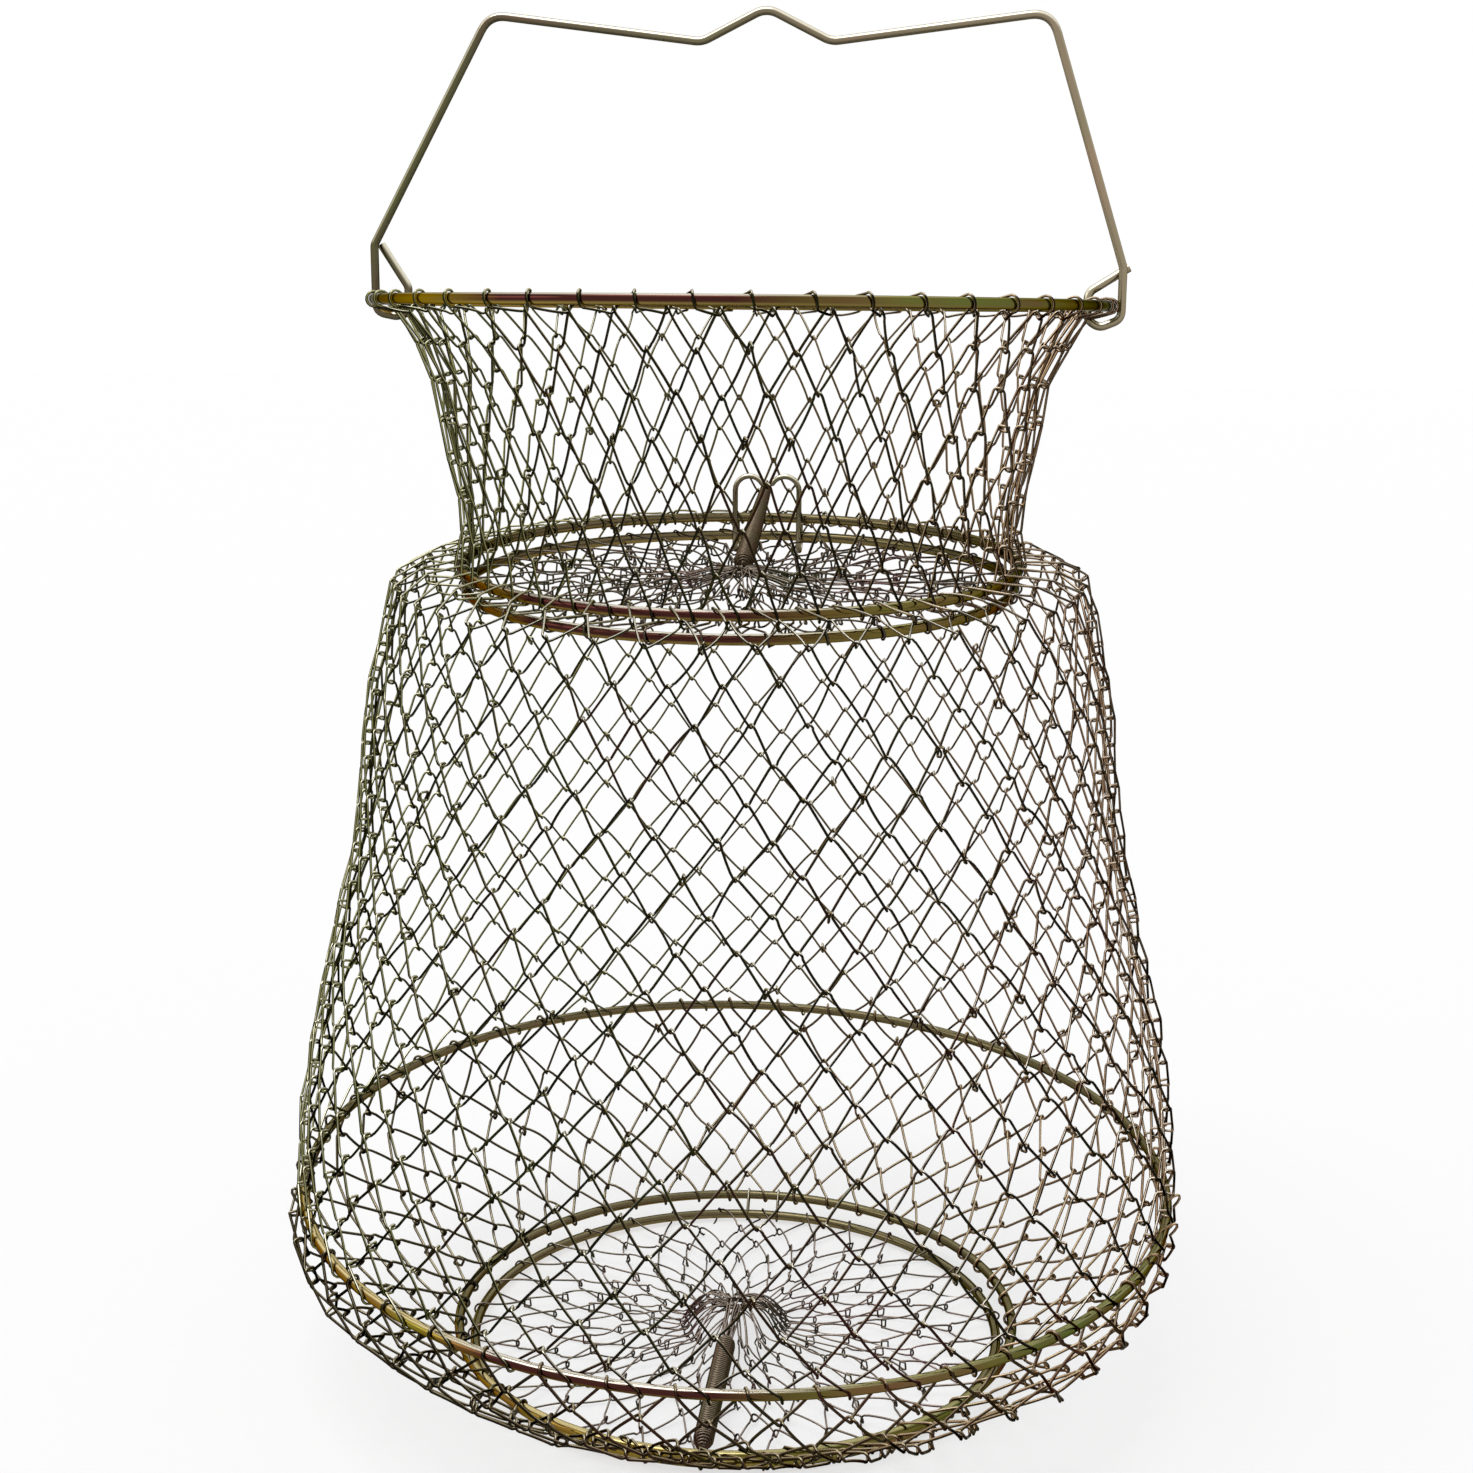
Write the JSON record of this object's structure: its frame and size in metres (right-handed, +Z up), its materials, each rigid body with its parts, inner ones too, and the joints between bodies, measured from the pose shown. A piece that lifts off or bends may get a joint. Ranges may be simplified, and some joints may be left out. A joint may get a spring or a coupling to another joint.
{
  "type": "collapsible wire fish basket",
  "caption": "Collapsible wire mesh fish basket with flared neck, spring-closed lid, drop-down floor door with latch spring, and folding wire bail.",
  "frame": {"origin": "on the surface the basket stands on, on the axis of its rings", "axes": "+Z up along the basket's axis towards the rim and bail; +X and -X through the bail's eyes; +Y towards the hinges of the lid and the floor door"},
  "size_m": [0.3382, 0.337, 0.5013],
  "materials": {
    "ring_steel": "yellow zinc plated wire",
    "bail_steel": "yellow zinc plated wire",
    "mesh_steel": "dark olive zinc plated thin wire",
    "spring_steel": "dull zinc plated spring wire"
  },
  "bodies": {
    "base": {"bottom_ring": "ring_steel", "base_mesh_row_1": "mesh_steel", "base_mesh_row_2": "mesh_steel", "door_hinge_loop_left": "mesh_steel", "door_hinge_loop_right": "mesh_steel"},
    "mid": {"mid_ring": "ring_steel", "body_mesh_row_1": "mesh_steel", "body_mesh_row_2": "mesh_steel", "body_mesh_row_3": "mesh_steel", "body_mesh_row_4": "mesh_steel", "body_mesh_row_5": "mesh_steel", "body_mesh_row_6": "mesh_steel", "body_mesh_row_7": "mesh_steel", "body_mesh_row_8": "mesh_steel"},
    "neck": {"neck_ring": "ring_steel", "neck_mesh_row_1": "mesh_steel", "neck_mesh_row_2": "mesh_steel", "neck_mesh_row_3": "mesh_steel", "lid_spring_bracket": "bail_steel"},
    "rim": {"rim_ring": "ring_steel"},
    "handle": {"carry_handle": "bail_steel"},
    "lid": {"lid_ring": "ring_steel", "lid_mesh_row_1": "mesh_steel", "lid_mesh_row_2": "mesh_steel", "lid_mesh_row_3": "mesh_steel", "lid_gather_ring": "mesh_steel", "lid_spring": "spring_steel"},
    "door": {"door_ring": "ring_steel", "door_mesh_row_1": "mesh_steel", "door_mesh_row_2": "mesh_steel", "door_mesh_row_3": "mesh_steel", "door_gather_ring": "mesh_steel", "door_spring": "spring_steel"}
  },
  "joints": [
    {"name": "base_fold", "type": "slide", "parent": "base", "child": "mid", "axis": [0, 0, -1], "range_m": [0, 0.055], "deforming": ["base_mesh_row_1", "base_mesh_row_2"]},
    {"name": "body_fold", "type": "slide", "parent": "mid", "child": "neck", "axis": [0, 0, -1], "range_m": [0, 0.223], "deforming": ["body_mesh_row_1", "body_mesh_row_2", "body_mesh_row_3", "body_mesh_row_4", "body_mesh_row_5", "body_mesh_row_6", "body_mesh_row_7", "body_mesh_row_8"]},
    {"name": "neck_fold", "type": "slide", "parent": "neck", "child": "rim", "axis": [0, 0, -1], "range_m": [0, 0.087], "deforming": ["neck_mesh_row_1", "neck_mesh_row_2", "neck_mesh_row_3"]},
    {"name": "handle_swing", "type": "hinge", "parent": "rim", "child": "handle", "pos_m": [0, 0, 0.4002], "axis": [1, 0, 0], "range_deg": [-48, 48]},
    {"name": "lid_swing", "type": "hinge", "parent": "neck", "child": "lid", "pos_m": [0, 0.1, 0.3001], "axis": [-1, 0, 0], "range_deg": [-80, 0], "stiffness_Nm_per_rad": 0.2, "springref_deg": 57.3, "deforming": ["lid_spring"]},
    {"name": "door_swing", "type": "hinge", "parent": "base", "child": "door", "pos_m": [0, 0.1019, 0.0032], "axis": [-1, 0, 0], "range_deg": [-95, 0], "stiffness_Nm_per_rad": 0.2, "springref_deg": 57.3, "deforming": ["door_spring"]}
  ]
}
